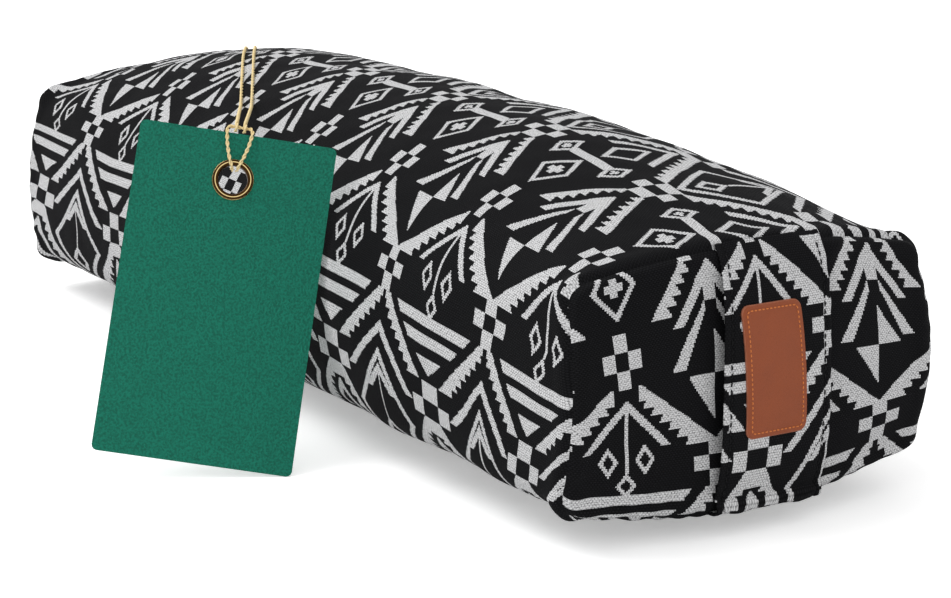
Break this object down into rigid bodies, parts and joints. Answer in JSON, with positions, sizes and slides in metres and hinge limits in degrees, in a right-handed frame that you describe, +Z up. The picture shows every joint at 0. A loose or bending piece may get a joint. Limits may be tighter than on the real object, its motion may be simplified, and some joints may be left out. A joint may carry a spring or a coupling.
{
  "type": "rectangular yoga bolster",
  "caption": "Long stuffed rectangular floor cushion in patterned cloth with a carry handle on one end, a leather patch, a rear zip and a hang tag on twine.",
  "frame": {"origin": "middle of the cushion's footprint, on the flat of its base, which rests on the floor", "axes": "+X along the length towards the handle end, +Y towards the long side with the zip, +Z up"},
  "size_m": [0.7011, 0.3871, 0.185],
  "materials": {
    "cover_cloth": "black and white woven jacquard, matt",
    "webbing": "black webbing",
    "patch_leather": "smooth cognac leather with stitching",
    "zip_tape": "black woven tape",
    "zip_teeth": "black moulded plastic",
    "zip_metal": "black lacquered metal",
    "liner_cloth": "plain undyed cotton",
    "husk": "loose grain husks",
    "tag_card": "textured green card",
    "eyelet_brass": "polished",
    "twine": "two-ply cream twine"
  },
  "bodies": {
    "bolster": {"cover_wrap": "cover_cloth", "end_panel_near": "cover_cloth", "end_panel_far": "cover_cloth", "handle_band": "cover_cloth", "handle_webbing": "webbing", "leather_patch": "patch_leather", "zip_tape_upper": "zip_tape", "zip_tape_lower": "zip_tape", "zip_teeth_upper": "zip_teeth", "zip_teeth_lower": "zip_teeth", "zip_top_stop_upper": "zip_teeth", "zip_top_stop_lower": "zip_teeth", "zip_bottom_stop": "zip_teeth", "liner_wrap": "liner_cloth", "liner_panel_near": "liner_cloth", "liner_panel_far": "liner_cloth", "husk_filling": "husk", "twine_strand_left": "twine", "twine_strand_right": "twine", "twine_knot": "twine"},
    "slider": {"zip_slider_body": "zip_metal"},
    "pull_tab": {"zip_pull_tab": "zip_metal"},
    "tag": {"tag_card": "tag_card", "tag_eyelet": "eyelet_brass", "tag_eyelet_washer": "eyelet_brass", "twine_hitch": "twine"}
  },
  "joints": [
    {"name": "zip_slide", "type": "slide", "parent": "bolster", "child": "slider", "axis": [-1, 0, 0], "range_m": [0, 0.384], "deforming": ["zip_teeth_upper", "zip_teeth_lower"]},
    {"name": "pull_tab_flip", "type": "hinge", "parent": "slider", "child": "pull_tab", "pos_m": [0.1942, 0.1237, 0.067], "axis": [0, 0, 1], "range_deg": [0, 180]},
    {"name": "tag_swing", "type": "hinge", "parent": "bolster", "child": "tag", "pos_m": [0.06434, -0.15544, 0.17936], "axis": [-0.4488, -0.8781, 0.166], "range_deg": [0, 60]}
  ]
}
